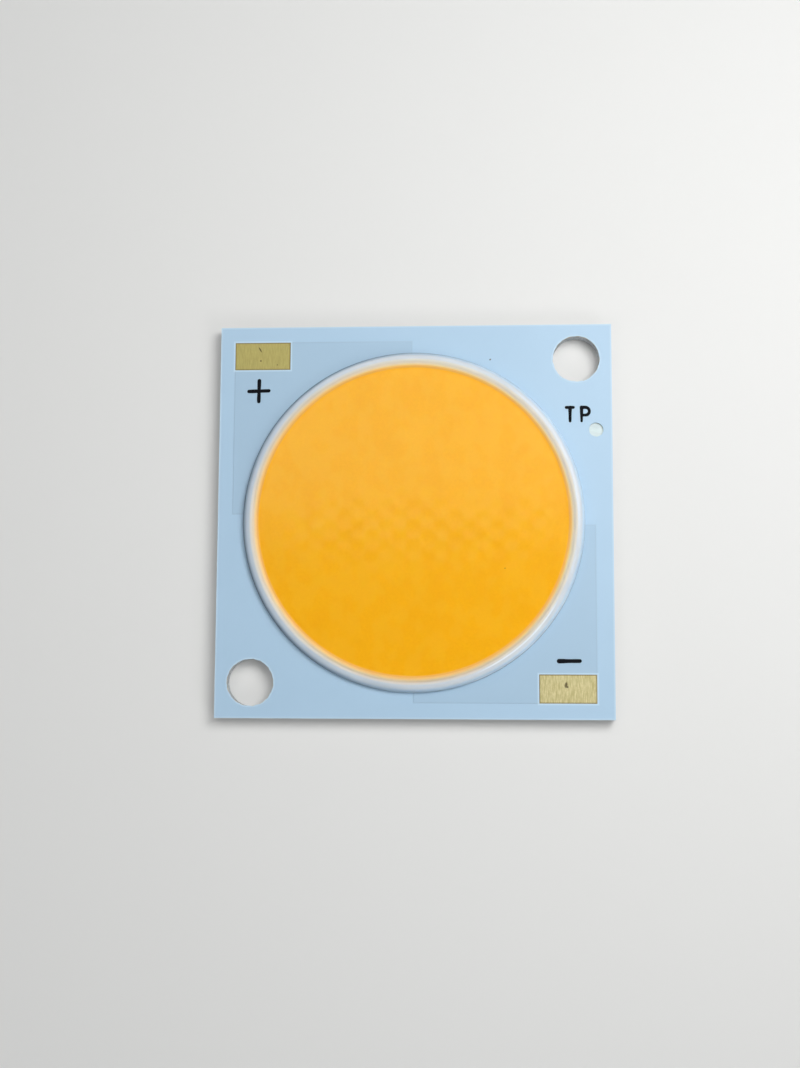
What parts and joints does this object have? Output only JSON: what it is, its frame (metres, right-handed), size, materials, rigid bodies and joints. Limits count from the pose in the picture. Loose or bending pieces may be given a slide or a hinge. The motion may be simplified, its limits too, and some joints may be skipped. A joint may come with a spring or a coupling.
{
  "type": "cob led",
  "caption": "Square white aluminium-core board with a round amber light-emitting surface in a raised silicone dam, screw holes on one diagonal and gold solder pads on the other.",
  "frame": {"origin": "middle of the board's underside", "axes": "+Z is the way the light leaves, +X points to the edge with the temperature point, +Y points to the edge with the positive pad"},
  "size_m": [0.028, 0.028, 0.0017],
  "materials": {
    "aluminium": "mill-finished sheet, satin, with drilled hole walls",
    "dielectric": "pale filled resin film, matte",
    "copper": "etched copper foil, satin",
    "solder_mask": "printed white solder mask, satin with a cool tint",
    "gold_plating": "nickel-gold plating with a fine brushed grain and a probe mark",
    "die_adhesive": "cured die adhesive, matte",
    "dam_silicone": "white silicone bead, smooth and slightly translucent",
    "phosphor_silicone": "phosphor-loaded silicone, glossy amber",
    "chip": "sapphire chip, polished",
    "gold_wire": "drawn gold wire, bright"
  },
  "bodies": {
    "root": {"aluminium_base": "aluminium", "dielectric_film": "dielectric", "anode_copper": "copper", "cathode_copper": "copper", "solder_mask": "solder_mask", "anode_pad": "gold_plating", "cathode_pad": "gold_plating", "die_adhesive": "die_adhesive", "dam_ring": "dam_silicone", "phosphor_fill": "phosphor_silicone", "chip_row_1": "chip", "chip_row_2": "chip", "chip_row_3": "chip", "chip_row_4": "chip", "chip_row_5": "chip", "chip_row_6": "chip", "chip_row_7": "chip", "chip_row_8": "chip", "chip_row_9": "chip", "chip_row_10": "chip", "chip_row_11": "chip", "chip_row_12": "chip", "chip_row_13": "chip", "chip_row_14": "chip", "chip_row_15": "chip", "chip_row_16": "chip", "chip_row_17": "chip", "chip_row_18": "chip", "chip_row_19": "chip", "chip_row_20": "chip", "wire_row_1": "gold_wire", "wire_row_2": "gold_wire", "wire_row_3": "gold_wire", "wire_row_4": "gold_wire", "wire_row_5": "gold_wire", "wire_row_6": "gold_wire", "wire_row_7": "gold_wire", "wire_row_8": "gold_wire", "wire_row_9": "gold_wire", "wire_row_10": "gold_wire", "wire_row_11": "gold_wire", "wire_row_12": "gold_wire", "wire_row_13": "gold_wire", "wire_row_14": "gold_wire", "wire_row_15": "gold_wire", "wire_row_16": "gold_wire", "wire_row_17": "gold_wire", "wire_row_18": "gold_wire", "wire_row_19": "gold_wire", "wire_row_20": "gold_wire"}
  },
  "joints": []
}
